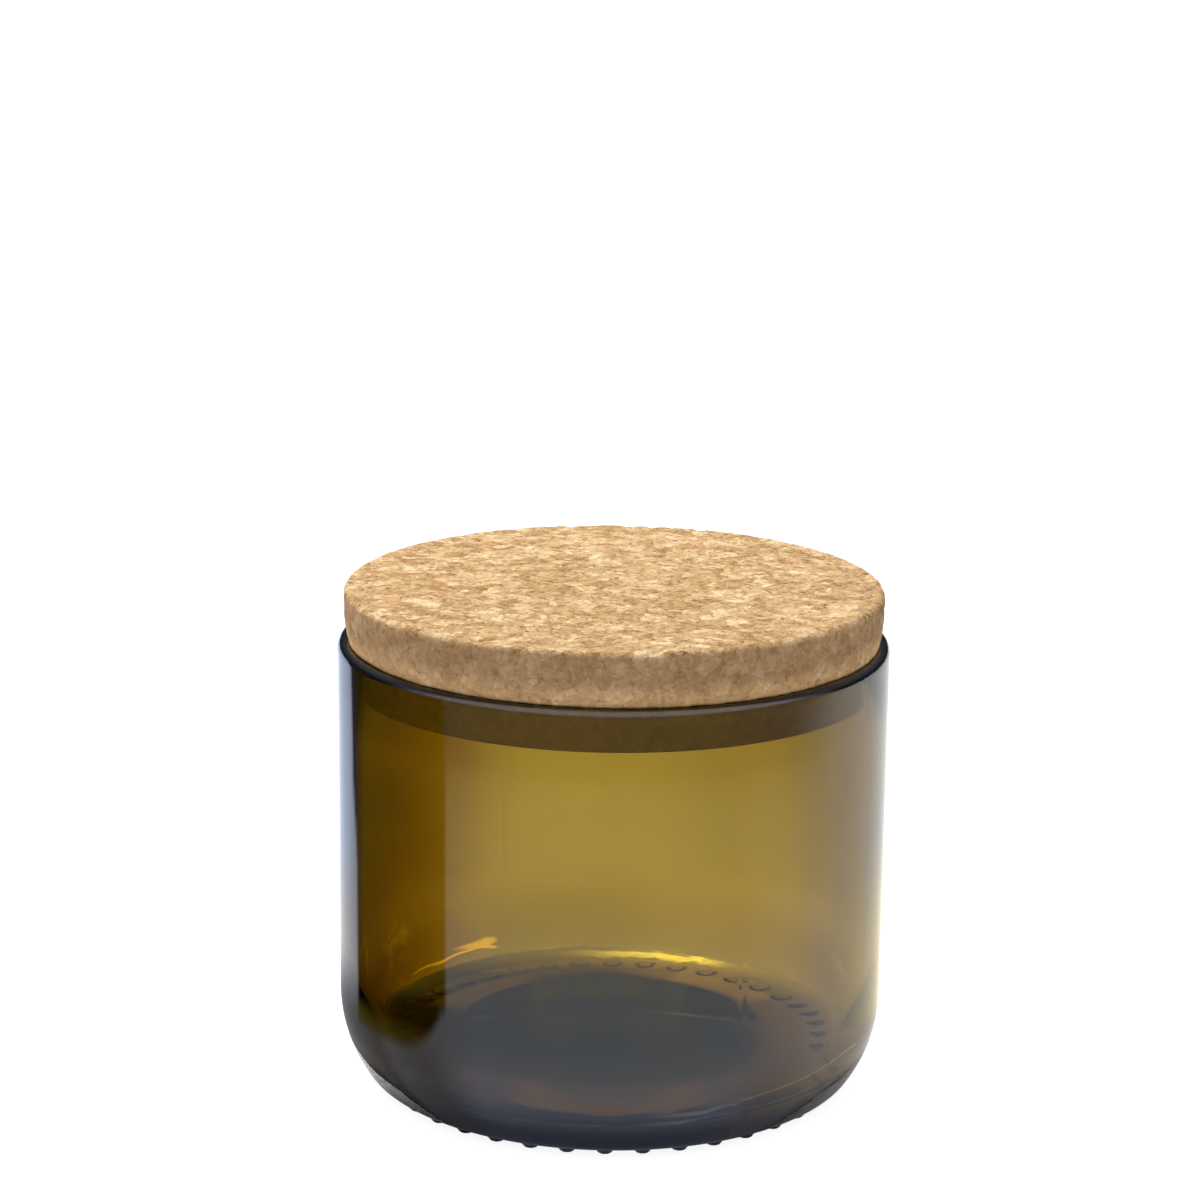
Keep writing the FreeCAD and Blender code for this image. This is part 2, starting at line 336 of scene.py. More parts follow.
# outside of the jar: outer rim arc, wall, two heel arcs, standing ring and a push-up that rises by the square
def jarOutside():
    shape = jarShape
    rows = shape["outsideRows"]
    top = jarHigh[2]
    outer = jarHigh[0] - shape["skin"]
    rim = shape["rimRounding"]
    small = shape["heelLowerRadius"]
    ringR = outer - shape["heelInset"]
    pushStart = ringR - shape["bearingWidth"]
    smallZ = shape["ringRise"] + small
    drop = shape["heelHeight"] - smallZ
    reach = shape["heelInset"] - small
    large = (drop ** 2 + shape["heelInset"] ** 2 - small ** 2) / (2.0 * reach)
    largeR = outer - large
    joint = math.degrees(math.atan2(-drop, ringR - largeR))
    pushR = np.linspace(pushStart, 0.0, rows[5], endpoint=False)
    pushZ = shape["ringRise"] + shape["pushUpRise"] * (1.0 - (pushR / pushR[0]) ** 2)
    return np.concatenate([
        arcRun((outer - rim, top - rim), rim, 90.0, 0.0, rows[0]),
        lineRun((outer, top - rim), (outer, shape["heelHeight"]), rows[1]),
        arcRun((largeR, shape["heelHeight"]), large, 0.0, joint, rows[2]),
        arcRun((ringR, smallZ), small, joint, -90.0, rows[3]),
        lineRun((ringR, shape["ringRise"]), (pushStart, shape["ringRise"]), rows[4]),
        np.stack([pushR, pushZ], 1),
    ])


# jar: the section turned round, with knurl bars below, two mould seams and slight waves inside
def makeJar():
    shape = jarShape
    insideProfile = jarInside()
    profile = np.concatenate([insideProfile, jarOutside()])
    grid, angle = turnedGrid(profile, shape["columns"])
    normals = turnedNormals(profile, angle)
    outside = (np.arange(len(profile)) >= len(insideProfile))[:, None]
    radius = profile[:, 0][:, None]
    height = profile[:, 1][:, None]

    # each bar is a rounded slot shape: full depth on its crown, eased to nothing at its foot
    ringR = jarHigh[0] - shape["heelInset"]
    pitch = 2.0 * math.pi / shape["knurls"]
    turn = (angle - math.radians(shape["knurlTurn"]) + pitch / 2.0) % pitch - pitch / 2.0
    across = radius * turn
    half = (shape["knurlLength"] - shape["knurlWidth"]) / 2.0
    along = np.maximum(np.abs(radius - (ringR - shape["knurlInset"])) - half, 0.0)
    crown = shape["knurlWidth"] / 2.0
    bar = 1.0 - ease(np.hypot(across, along), crown, crown + shape["knurlSpread"])
    low = outside & (height < shape["heelHeight"] / 3.0)
    grid[..., 2] -= np.where(low, bar * shape["ringRise"], 0.0)

    # each seam is a narrow ridge: height times a bell curve of the distance along the wall
    aboveRing = outside & (height > shape["ringRise"] + shape["seamStart"])
    for seamAngle in shape["seamAngles"]:
        away = np.angle(np.exp(1j * (angle - math.radians(seamAngle)))) * radius
        ridge = shape["seamHeight"] * np.exp(-(away / shape["seamWidth"]) ** 2)
        ridge = ridge * (1.0 - ease(height, *shape["seamEnd"]))
        grid += normals * np.where(aboveRing, ridge, 0.0)[..., None]

    # two mould rings round the heel: the same bell curve, of the height above or below each ring
    for ringHeight in shape["ringHeights"]:
        ridge = shape["ringHeight"] * np.exp(-((height - ringHeight) / shape["ringWidth"]) ** 2)
        grid += normals * np.where(outside & (radius > ringR), ridge, 0.0)[..., None]

    # slight unevenness inside: a few sines round the axis and up the wall, with ripples at the floor's corner
    wave = 0.0
    for count, rise, start in shape["waves"]:
        wave = wave + np.sin(count * angle + rise * height + start)
    nearFloor = 1.0 - ease(height, *shape["floorFade"])
    size = (shape["wallWaves"] + shape["floorWaves"] * nearFloor) * ease(radius, *shape["waveFrom"])
    step = np.linalg.norm(np.diff(profile, axis=0, prepend=profile[:1]), axis=1)
    travel = np.cumsum(step)[:, None]
    ripple = sum(part * pushedSine(travel, count, angle, pushes) for part, count, pushes in shape["ripples"])
    nearCorner = ease(radius, *shape["rippleFrom"]) * (1.0 - ease(height, *shape["rippleEnd"]))
    sink = (wave + shape["waveLift"]) / len(shape["waves"]) * size
    sink = sink + shape["ripple"] * nearCorner * (shape["rippleLift"] + ripple)
    wavy = ~outside & (height < jarHigh[2] - shape["calmBelowRim"])
    grid -= normals * np.where(wavy, sink, 0.0)[..., None]

    floorTop = shape["floorEdge"] + shape["floorRise"]
    underside = shape["ringRise"] + shape["pushUpRise"]
    piece = closedMesh("glassJar", grid, (0.0, 0.0, floorTop), (0.0, 0.0, underside))
    piece.data.materials.append(makeGlass())
    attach(piece, "jar")
    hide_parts("glass_jar")


# lid sizes in mm and degrees; cells are given by size and seed, and bareRise, the band of painted shade under
# the lip, plugEdge and the reach of the painted light at the side's foot are heights above the rim
lidShape = {
    "columns": 720, "topRows": 80, "edgeRows": 7, "sideRows": 22,
    "plugRows": 11, "heelRows": 4, "footRows": 6,
    "skin": 0.02,
    "swell": 0.65, "plugTaper": 2.0, "clearance": 0.08,
    "lip": 1.0, "lipGap": 0.05, "lipFlat": 0.72, "flatGap": 0.03,
    "lipStep": 0.2, "stepDrop": 0.1, "lipDrop": 0.6,
    "topRounding": 1.0, "footRounding": 0.4,
    "granuleCell": (2.1, 3), "granuleStep": 0.1,
    "pitCell": (3.4, 11), "pitShare": 0.2, "pitDepth": 0.45, "pitReach": (0.2, 0.9), "pitFill": 0.4,
    "chipCell": (2.6, 29), "chipShare": 0.3, "chipDepth": 0.4, "chipReach": (0.3, 1.5),
    "chipBand": (0.9, 1.8),
    "sideStart": (0.3, 1.0), "bareRise": (-0.5, 1.0), "smoothFoot": 0.5,
    # the first range is a band of painted shade under the lip; the last number is the reach of a painted
    # light at the side's foot
    "shadedCrease": (-1.8, -0.9, -0.3, 0.1), "plugEdge": (-1.0, 0.5), "litFootHeight": 4.0,
    # these three strengths are painted shade in pits, chipped edges and the crease under the lip; the last is
    # the share of the plug's paler, painted-light colour that the whole side takes
    "pitShadeStrength": 0.8, "chipShadeStrength": 0.5, "creaseShadeStrength": 0.95, "sideLitShare": 0.2,
}

# cork texture: noises by scale per metre and detail, warps also by reach in metres, granules by scale and
# weight in the tone
corkLook = {
    "warp": (340.0, 2.0, 0.0012), "fineWarp": (1250.0, 2.0, 0.0004),
    "granules": ((430.0, 0.40), (980.0, 0.35), (2100.0, 0.25)),
    "shades": (
        (0.12, (0.275, 0.147, 0.058)), (0.35, (0.386, 0.232, 0.105)), (0.52, (0.456, 0.291, 0.143)),
        (0.68, (0.53, 0.361, 0.194)), (0.9, (0.675, 0.5, 0.305)),
    ),
    "patch": (420.0, 2.0), "patchRange": (0.42, 0.6, 0.0, 1.0), "binder": (0.22, 0.16), "binderWidth": 0.1,
    "grain": (4200.0, 3.0), "grainRange": (0.3, 0.7, 0.88, 1.1),
    "speck": (1100.0, 2.0), "speckRange": (0.3, 0.42, 0.5, 1.0),
    # the side's darkening is partly its own deeper cut tone and partly painted shade; the dark colour is the
    # painted shade of pits, chips and the crease
    "sideToneAndShade": (0.71, 0.668, 0.65), "hollowShadeColour": (0.09, 0.045, 0.018),
    "sideEven": 0.35, "sideColour": (0.41, 0.262, 0.128),
    # the plug's colour is evener and paler, the paleness a painted light where the glass keeps light off it;
    # the last number is a painted light lifting the side's foot where the rim shades it
    "pressedLitShare": 0.6, "pressedLitColour": (0.6, 0.45, 0.25), "footLightLift": 0.75,
    "relief": 0.8, "reliefDepth": 0.0003, "sideCalm": 0.4,
    "granuleRelief": (0.5, 0.45), "speckRelief": 0.5, "grainRelief": 0.5,
    "roughness": 0.9, "specular": 0.12,
}


# cork: warped granules of three sizes, each with its own tone, binder lines between some, specks and pits
def makeCork():
    look = corkLook
    material = bpy.data.materials.new("pressedCork")
    material.use_nodes = True
    tree = material.node_tree
    shader = tree.nodes["Principled BSDF"]
    shader.inputs["Roughness"].default_value = look["roughness"]
    shader.inputs["Specular IOR Level"].default_value = look["specular"]
    place = makeNode(tree, "TexCoord").outputs["Object"]
    rough = warpNode(tree, warpNode(tree, place, *look["warp"]), *look["fineWarp"])

    # tone: a weighted sum of each size's random shade, turned into colour by the ramp
    tone = 0.0
    rises = []
    for scale, weight in look["granules"]:
        parts = makeNode(tree, "SeparateColor")
        link(tree, cellNode(tree, rough, scale).outputs["Color"], parts.inputs["Color"])
        tone = mathNode(tree, "MULTIPLY_ADD", parts.outputs["Red"], weight, tone)
        rises.append(parts.outputs["Green"])
    ramp = makeNode(tree, "ValToRGB")
    stops = ramp.color_ramp.elements
    for stop, (position, colour) in zip((stops[0], stops[1]), (look["shades"][0], look["shades"][-1])):
        stop.position = position
        stop.color = (*colour, 1.0)
    for position, colour in look["shades"][1:-1]:
        stops.new(position).color = (*colour, 1.0)
    link(tree, tone, ramp.inputs["Fac"])

    # shade: one less the binder lines where the patchy noise lets them show, times dark specks and fine grain
    patch = noiseNode(tree, place, *look["patch"]).outputs["Fac"]
    lines = []
    for (scale, weight), depth in zip(look["granules"], look["binder"]):
        edge = cellNode(tree, rough, scale, "DISTANCE_TO_EDGE").outputs["Distance"]
        lines.append(rangeNode(tree, edge, 0.0, look["binderWidth"], depth, 0.0))
    line = mathNode(tree, "ADD", *lines)
    line = mathNode(tree, "MULTIPLY", line, rangeNode(tree, patch, *look["patchRange"]))
    grain = noiseNode(tree, place, *look["grain"]).outputs["Fac"]
    speck = noiseNode(tree, rough, *look["speck"]).outputs["Fac"]
    speckShade = rangeNode(tree, speck, *look["speckRange"])
    shade = mathNode(tree, "MULTIPLY", mathNode(tree, "SUBTRACT", 1.0, line), speckShade)
    shade = mathNode(tree, "MULTIPLY", shade, rangeNode(tree, grain, *look["grainRange"]))
    colour = scaleColour(tree, ramp.outputs["Color"], shade)

    # the cut side is evener in tone than the top, and the squeezed plug evener still and paler, the paleness
    # a painted light
    side = meshNode(tree, "side").outputs["Fac"]
    plug = meshNode(tree, "plug").outputs["Fac"]
    colour = mixColour(tree, mathNode(tree, "MULTIPLY", side, look["sideEven"]), colour, look["sideColour"])
    colour = mixColour(tree, mathNode(tree, "MULTIPLY", plug, look["pressedLitShare"]), colour, look["pressedLitColour"])

    # the cut side is darker than the sanded top, partly its own deeper tone and partly painted shade; its
    # foot is paler, a painted light where the rim shades it; painted shade darkens pits, chipped edges and
    # the crease under the lip
    foot = meshNode(tree, "foot").outputs["Fac"]
    colour = scaleColour(tree, colour, mathNode(tree, "MULTIPLY_ADD", foot, look["footLightLift"], 1.0))
    colour = mixColour(tree, side, colour, look["sideToneAndShade"], "MULTIPLY")
    colour = mixColour(tree, meshNode(tree, "pit").outputs["Fac"], colour, look["hollowShadeColour"])
    link(tree, colour, shader.inputs["Base Color"])

    # relief: granules stand at different heights, lines and specks are sunk, grain on top, calmer on the side
    height = mathNode(tree, "MULTIPLY", grain, look["grainRelief"])
    for rise, part in zip(rises, look["granuleRelief"]):
        height = mathNode(tree, "MULTIPLY_ADD", rise, part, height)
    height = mathNode(tree, "MULTIPLY_ADD", speckShade, look["speckRelief"], height)
    height = mathNode(tree, "SUBTRACT", height, line)
    calm = mathNode(tree, "MULTIPLY_ADD", side, -look["sideCalm"], 1.0)
    height = mathNode(tree, "MULTIPLY", height, calm)
    relief = makeNode(tree, "Bump", Strength=look["relief"], Distance=look["reliefDepth"])
    link(tree, height, relief.inputs["Height"])
    link(tree, relief.outputs["Normal"], shader.inputs["Normal"])
    return material


# lid section: flat top, rounded edge, a side that swells out over the rim by a quarter sine of its height,
# a lip that rests on the rim, the plug that the mouth squeezes, rounded foot and flat underside
def lidProfile():
    shape = lidShape
    plugLean = math.radians(shape["plugTaper"])
    rim = jarHigh[2]
    seat = jarHigh[0] - jarShape["wall"] - shape["clearance"]
    top = lidHigh[2] - shape["skin"]
    foot = lidLow[2] + shape["skin"]
    topR = lidHigh[0] - shape["skin"]
    lipR = seat + shape["lip"]
    footR = seat + math.tan(plugLean) * (foot - rim)
    edge = shape["topRounding"]
    heel = shape["footRounding"]
    heelR = footR - heel * math.tan(math.radians(45.0) - plugLean / 2.0)
    heelArc = arcRun((heelR, foot + heel), heel, -shape["plugTaper"], -90.0, shape["heelRows"])
    sideZ = np.linspace(top - edge, rim + shape["lipGap"], shape["sideRows"])
    share = np.clip((sideZ - rim) / (top - edge - rim) / shape["swell"], 0.0, 1.0)
    sideR = lipR + (topR - lipR) * np.sin(share * math.pi / 2.0)
    return np.concatenate([
        lineRun((0.0, top), (topR - edge, top), shape["topRows"])[1:],
        arcRun((topR - edge, top - edge), edge, 90.0, 0.0, shape["edgeRows"]),
        np.stack([sideR, sideZ], 1),
        [(seat + shape["lipFlat"], rim + shape["flatGap"])],
        [(seat + shape["lipStep"], rim - shape["stepDrop"])],
        lineRun((seat, rim - shape["lipDrop"]), heelArc[0], shape["plugRows"]),
        heelArc,
        lineRun((heelR, foot), (0.0, foot), shape["footRows"]),
    ])


# lid: the section turned round, with granules set in at different depths, pits and chipped edges
def makeLid():
    shape = lidShape
    profile = lidProfile()
    grid, angle = turnedGrid(profile, shape["columns"])
    normals = turnedNormals(profile, angle)
    tone = cellField(grid, *shape["granuleCell"])[1]
    pitGap, pitTone = cellField(grid, *shape["pitCell"])
    chipGap, chipTone = cellField(grid, *shape["chipCell"])
    side = ease(lidHigh[2] - grid[..., 2], *shape["sideStart"])

    # pits: hollows round some seeds, none on the plug; chips: the same, only near the top's edge
    pit = (pitTone < shape["pitShare"]) * (1.0 - ease(pitGap, *shape["pitReach"])) * shape["pitFill"]
    pit = pit * ease(grid[..., 2] - jarHigh[2], *shape["bareRise"])
    edgeR = profile[shape["topRows"] - 1, 0]
    edgeGap = np.hypot(profile[:, 0] - edgeR, profile[:, 1] - lidHigh[2] + shape["topRounding"])[:, None]
    chip = (chipTone < shape["chipShare"]) * (1.0 - ease(chipGap, *shape["chipReach"]))
    chip = chip * (1.0 - ease(edgeGap, *shape["chipBand"]))
    depth = shape["granuleStep"] * tone + shape["pitDepth"] * pit + shape["chipDepth"] * chip
    depth = depth * (profile[:, 1] > lidLow[2] + shape["smoothFoot"])[:, None]
    grid -= normals * depth[..., None]
    topPole = (0.0, 0.0, lidHigh[2] - shape["skin"])
    footPole = (0.0, 0.0, lidLow[2] + shape["skin"])
    piece = closedMesh("corkLid", grid, topPole, footPole)

    # numbers for the cork's colour, each eased by the height above or below the rim: painted shade in pits,
    # chipped edges and the crease under the lip, and painted light at the side's foot and on the plug
    aboveRim = grid[..., 2] - jarHigh[2]
    shadedCrease = easeBand(aboveRim, *shape["shadedCrease"])
    hollowShade = pit * shape["pitShadeStrength"] + chip * shape["chipShadeStrength"] * side + shape["creaseShadeStrength"] * shadedCrease
    plug = 1.0 - ease(aboveRim, *shape["plugEdge"])
    foot = (1.0 - plug) * (1.0 - ease(aboveRim, 0.0, shape["litFootHeight"]))
    plug = side * (shape["sideLitShare"] + (1.0 - shape["sideLitShare"]) * plug)
    # side marks the cut side; foot holds the painted light at the side's foot; plug the share of the plug's
    # paler, painted-light colour; pit the painted shade of pits, chipped edges and the crease
    storeNumber(piece, "side", 0.0, side, 1.0)
    storeNumber(piece, "foot", 0.0, foot, 0.0)
    storeNumber(piece, "plug", 0.0, plug, 1.0)
    storeNumber(piece, "pit", 0.0, np.clip(hollowShade, 0.0, 1.0), 0.0)
    piece.data.materials.append(makeCork())
    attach(piece, "lid")
    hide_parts("cork_lid")


# a sheet that glows by its own colours, seen only by mirrored rays or by rays through the glass
def makeCard(name, points, colours, mirrored):
    rows, columns = points.shape[:2]
    here = np.arange(rows * columns).reshape(rows, columns)
    faces = np.stack([here[:-1, :-1], here[1:, :-1], here[1:, 1:], here[:-1, 1:]], -1).reshape(-1, 4)
    mesh = bpy.data.meshes.new(name)
    mesh.from_pydata((points.reshape(-1, 3) * mm).tolist(), [], faces.tolist())
    layer = mesh.attributes.new("glow", "FLOAT_COLOR", "POINT")
    full = np.ones((rows, columns, 4))
    full[..., :3] = colours
    layer.data.foreach_set("color", full.ravel())
    card = bpy.data.objects.new(name, mesh)
    bpy.context.collection.objects.link(card)
    material = bpy.data.materials.new(name)
    material.use_nodes = True
    tree = material.node_tree
    tree.nodes.remove(tree.nodes["Principled BSDF"])
    glow = makeNode(tree, "Emission")
    link(tree, meshNode(tree, "glow").outputs["Color"], glow.inputs["Color"])
    link(tree, glow.outputs["Emission"], tree.nodes["Material Output"].inputs["Surface"])
    mesh.materials.append(material)
    card.visible_camera = False
    card.visible_diffuse = False
    card.visible_shadow = False
    card.visible_glossy = mirrored
    card.visible_transmission = not mirrored


# colours between stops, each channel in a straight line from stop to stop
def blendStops(stops, value):
    table = np.array([(place, *colour) for place, colour in stops])
    return np.stack([np.interp(value, table[:, 0], table[:, channel]) for channel in (1, 2, 3)], -1)


# flat spots raised to a height
def atHeight(spots, height):
    return np.concatenate([spots, np.full((*spots.shape[:2], 1), height)], -1)


# what the glass mirrors, by mm from the wall and by wall turns from the front in degrees
mirrorRig = {
    "height": 0.01, "turnEnd": 86.0, "columns": 345,
    "reachSteps": ((-10.0, -2.0, 1.0), (-2.0, 24.0, 0.25), (24.0, 50.0, 1.0)), "reachFar": (50.0, 8000.0, 40),
    "farStops": (
        (-86.0, (1.1, 1.25, 1.55)), (-74.0, (1.0, 1.14, 1.42)), (-70.0, (1.08, 1.25, 1.62)),
        (-66.0, (1.0, 1.1, 1.3)), (-36.0, (1.4, 1.2, 0.75)), (25.0, (1.4, 1.2, 0.75)),
        (50.0, (1.4, 1.35, 1.3)), (62.0, (1.2, 1.2, 1.2)), (86.0, (1.25, 1.25, 1.25)),
    ),
    "frontStops": (
        (-8.0, (0.1, 0.1, 0.12)), (-2.0, (0.3, 0.33, 0.48)), (4.0, (0.85, 1.0, 1.4)),
        (8.0, (1.4, 1.4, 1.65)), (22.0, (1.75, 1.7, 1.9)), (42.0, (1.1, 1.3, 1.55)), (76.0, (0.95, 1.1, 1.4)),
    ),
    "leftStops": (
        (-8.0, (0.08, 0.09, 0.1)), (4.0, (0.38, 0.4, 0.46)), (10.0, (0.55, 0.56, 0.6)),
        (30.0, (0.6, 0.61, 0.65)), (60.0, (1.1, 1.12, 1.18)),
    ),
    "rightStops": (
        (-8.0, (0.1, 0.1, 0.12)), (4.0, (0.68, 0.68, 0.76)), (8.0, (1.0, 0.92, 0.84)),
        (14.0, (1.2, 1.15, 1.15)), (34.0, (1.25, 1.35, 1.6)),
    ),
    "edgeStops": (
        (-8.0, (0.1, 0.1, 0.12)), (4.0, (0.42, 0.44, 0.48)), (12.0, (0.8, 0.8, 0.78)),
        (24.0, (1.0, 0.98, 0.92)), (36.0, (1.6, 1.4, 1.0)), (70.0, (1.5, 1.4, 1.1)),
    ),
    "leftTurn": (-42.0, -25.0), "rightTurn": (22.0, 38.0), "edgeTurn": (46.0, 62.0),
    "nearEnd": (70.0, 130.0), "fade": (140.0, 225.0), "fadeTo": (0.18, 0.2, 0.35), "fadeTurn": (34.0, 52.0),
    "window": (-66.0, -64.2, -35.3, -34.7), "windowEnd": (28.0, 37.0),
    "windowLean": (110.0, 170.0, 2.2), "windowFoot": (-50.0, 14.0, 19.0),
    "windowRest": ((-68.0, (0.1, 0.12, 0.18)), (-65.0, (0.1, 0.08, 0.08)), (-62.5, (0.12, 0.08, 0.01))),
    "restRise": (40.0, 75.0), "footRest": (0.26, 0.2, 0.02), "footEnd": (36.0, 46.0),
    "leftDim": (-58.0, -50.0, 0.5), "leftDimEnd": (35.0, 60.0),
    "lines": (
        ((21.0, 48.0, 62.0), (4.9, 12.1, 19.4), 0.7, (1.0, 0.85, 0.7)),
        ((17.0, 49.0), (1.7, 4.6), 0.5, (0.5, 0.6, 0.55)),
    ),
    "lineFade": 8.0,
}


# colours close to the wall: front, left, right and edge stops blended by turn, with two thin lines of light
def mirrorNear(turn, reach):
    rig = mirrorRig
    near = blendStops(rig["frontStops"], reach)
    left = blendStops(rig["leftStops"], reach)
    dimFrom, dimEnd, dim = rig["leftDim"]
    dimShare = (1.0 - ease(turn, dimFrom, dimEnd)) * (1.0 - ease(reach, *rig["leftDimEnd"]))
    left = left * (1.0 - (1.0 - dim) * dimShare)[..., None]
    near = near + (left - near) * (1.0 - ease(turn, *rig["leftTurn"]))[:, None]
    right = blendStops(rig["rightStops"], reach)
    near = near + (right - near) * ease(turn, *rig["rightTurn"])[:, None]
    edge = blendStops(rig["edgeStops"], reach)
    near = near + (edge - near) * ease(turn, *rig["edgeTurn"])[:, None]
    for lineTurns, lineReach, width, glow in rig["lines"]:
        strength = 1.0 - ease(np.abs(reach - np.interp(turn, lineTurns, lineReach)), 0.0, width)
        strength = strength * ease(turn, lineTurns[0] - 2.0 * rig["lineFade"], lineTurns[0])
        strength = strength * (1.0 - ease(turn, lineTurns[-1], lineTurns[-1] + rig["lineFade"]))
        near = near + strength[..., None] * np.array(glow)
    return near


# floor spots that the wall mirrors: each wall point plus the reach along the view line mirrored by the wall
def makeMirrorCard():
    rig = mirrorRig
    turn = np.linspace(-rig["turnEnd"], rig["turnEnd"], rig["columns"])
    angle = np.radians(turn)
    normal = np.stack([np.sin(angle), -np.cos(angle)], -1)
    wall = jarHigh[0] * normal
    view = wall - np.array(cameraView["place"][:2]) / mm
    view /= np.linalg.norm(view, axis=1, keepdims=True)
    back = view - 2.0 * (view * normal).sum(1, keepdims=True) * normal
    reach = [np.arange(*step) for step in rig["reachSteps"]]
    reach = np.concatenate([*reach, np.geomspace(*rig["reachFar"])])[:, None]
    near = mirrorNear(turn, reach)
    reach = reach[..., None]
    middle = 1.0 - ease(np.abs(turn), *rig["fadeTurn"])[:, None]
    fade = 1.0 - (1.0 - np.array(rig["fadeTo"])) * ease(reach, *rig["fade"]) * middle
    far = blendStops(rig["farStops"], turn) * fade
    colours = near + (far - near) * ease(reach, *rig["nearEnd"])

    # the dark window: a band of turns that leans a little far off and ends in a curve near the wall
    lowEnd, highEnd, lean = rig["windowLean"]
    leant = turn[:, None] + lean * ease(reach, lowEnd, highEnd)
    pane = ease(leant, *rig["window"][:2]) * (1.0 - ease(turn, *rig["window"][2:]))[:, None]
    footTurn, footSpan, footRise = rig["windowFoot"]
    foot = footRise * np.clip((turn - footTurn) / footSpan, 0.0, 1.0)[:, None] ** 3
    pane = pane * ease(reach - foot, *rig["windowEnd"])
    rest = blendStops(rig["windowRest"], turn) * ease(reach, *rig["restRise"])
    rest = rest + np.array(rig["footRest"]) * (1.0 - ease(reach, *rig["footEnd"]))
    colours = colours + (rest - colours) * pane
    makeCard("mirrorCard", atHeight(wall + back * reach, rig["height"]), colours, True)


# what shows through the glass, a glowing stand-in for the floor with painted shade and light: by distance and
# turn round the jar's axis, and far off by the sideways slope of the line from below the camera, with streaks
# of light given by ends, half widths and glow
throughRig = {
    "height": 0.02, "columns": 1440,
    "radiusSteps": ((0.0, 30.0, 1.0), (30.0, 68.0, 0.4)), "radiusFar": (68.0, 12000.0, 32),
    "spotLength": 0.6, "spotEdge": (0.7, 1.1), "spotShade": 0.95, "spotTurn": (26.0, 38.0, 300.0, 330.0),
    # painted shade: black under the jar's push-up, rising to a glow toward its standing ring
    "baseStops": ((22.0, (0.0, 0.0, 0.0)), (26.0, (1.0, 1.0, 1.0)), (32.0, (1.3, 1.3, 1.3))),
    "turns": (
        (0, 30, 50, 60, 72, 82, 92, 105, 118, 128, 142, 156, 300, 320, 345, 360),
        (0.72, 0.75, 1.0, 1.4, 1.6, 1.3, 0.95, 0.65, 0.45, 0.22, 0.22, 0.06, 0.06, 0.25, 0.55, 0.72),
    ),
    "backShift": (95.0, 28.0, 6.0), "backFrom": (45.0, 52.0), "frontEnd": (-90.0, -45.0),
    "besideSlope": (0.25, 0.45), "besideFrom": (120.0, 260.0), "nearShade": (54.0, 76.0, 0.84),
    "nearFrom": (64.0, 105.0), "nearRise": (
        (-0.085, -0.07, -0.055, -0.045, -0.035, -0.025, 0.01, 0.025, 0.04, 0.09, 0.115),
        (1.0, 1.2, 1.4, 1.3, 1.1, 1.0, 1.0, 1.15, 1.3, 1.33, 1.25),
    ),
    "lineRadius": (46.5, 48.5, 51.0), "lineShade": 0.75,
    "lineWave": 0.5, "lineWaves": ((0.7, 0.0), (0.43, 1.0), (1.3, 2.0)),
    "backStops": (
        (-0.165, (0.02, 0.015, 0.0)), (-0.125, (0.24, 0.16, 0.0)), (-0.115, (0.26, 0.17, 0.0)),
        (-0.095, (0.34, 0.22, 0.0)), (-0.08, (0.45, 0.29, 0.0)), (-0.066, (0.68, 0.46, 0.0)),
        (-0.052, (0.82, 0.67, 0.5)), (-0.0395, (1.2, 1.15, 1.1)), (-0.027, (1.4, 1.4, 1.4)),
        (0.02, (1.42, 1.42, 1.42)), (0.045, (1.3, 1.3, 1.3)), (0.06, (1.4, 1.4, 1.4)),
        (0.07, (1.4, 1.4, 1.4)), (0.087, (1.1, 1.1, 1.1)), (0.115, (0.9, 0.9, 0.9)),
    ),
    "leftSlope": (-0.085, -0.065),
    "leftRise": ((60.0, 68.0, 115.0, 157.0, 198.0), (1.4, 1.45, 1.03, 1.12, 2.0)),
    "middleSlope": (-0.055, -0.03, 0.045, 0.085), "middleRise": ((118.0, 160.0), (1.0, 0.99)),
    "arcRadius": (38.5, 40.5, 44.0, 46.0), "arcTurn": (60.0, 70.0, 76.0, 102.0), "arcGlow": (3.4, 4.0, 3.6),
    "arcBreak": 0.3, "arcWave": (3.0, ((2.0, 0.6, 0.0), (1.5, 1.7, 0.0))),
    "bands": (
        ((25.0, 26.5, 30.5, 33.0), (110.0, 126.0, 146.0, 158.0), 0.6),
        ((27.0, 28.0, 32.0, 34.0), (34.0, 40.0, 67.0, 71.0), 1.0),
        ((20.0, 23.5, 27.0, 29.5), (225.0, 245.0, 295.0, 315.0), 0.6),
    ),
    "streaks": (
        ((-36.7, 41.2), (-22.4, 58.1), (0.9, 2.0), (2.4, 1.9, 0.0)),
        ((-44.6, 26.0), (-40.5, 60.0), (0.6, 0.6), (0.25, 0.17, 0.0)),
    ),
    "streakCore": 0.3, "streakRise": ((0.0, 0.5), (0.35, 1.0)),
}


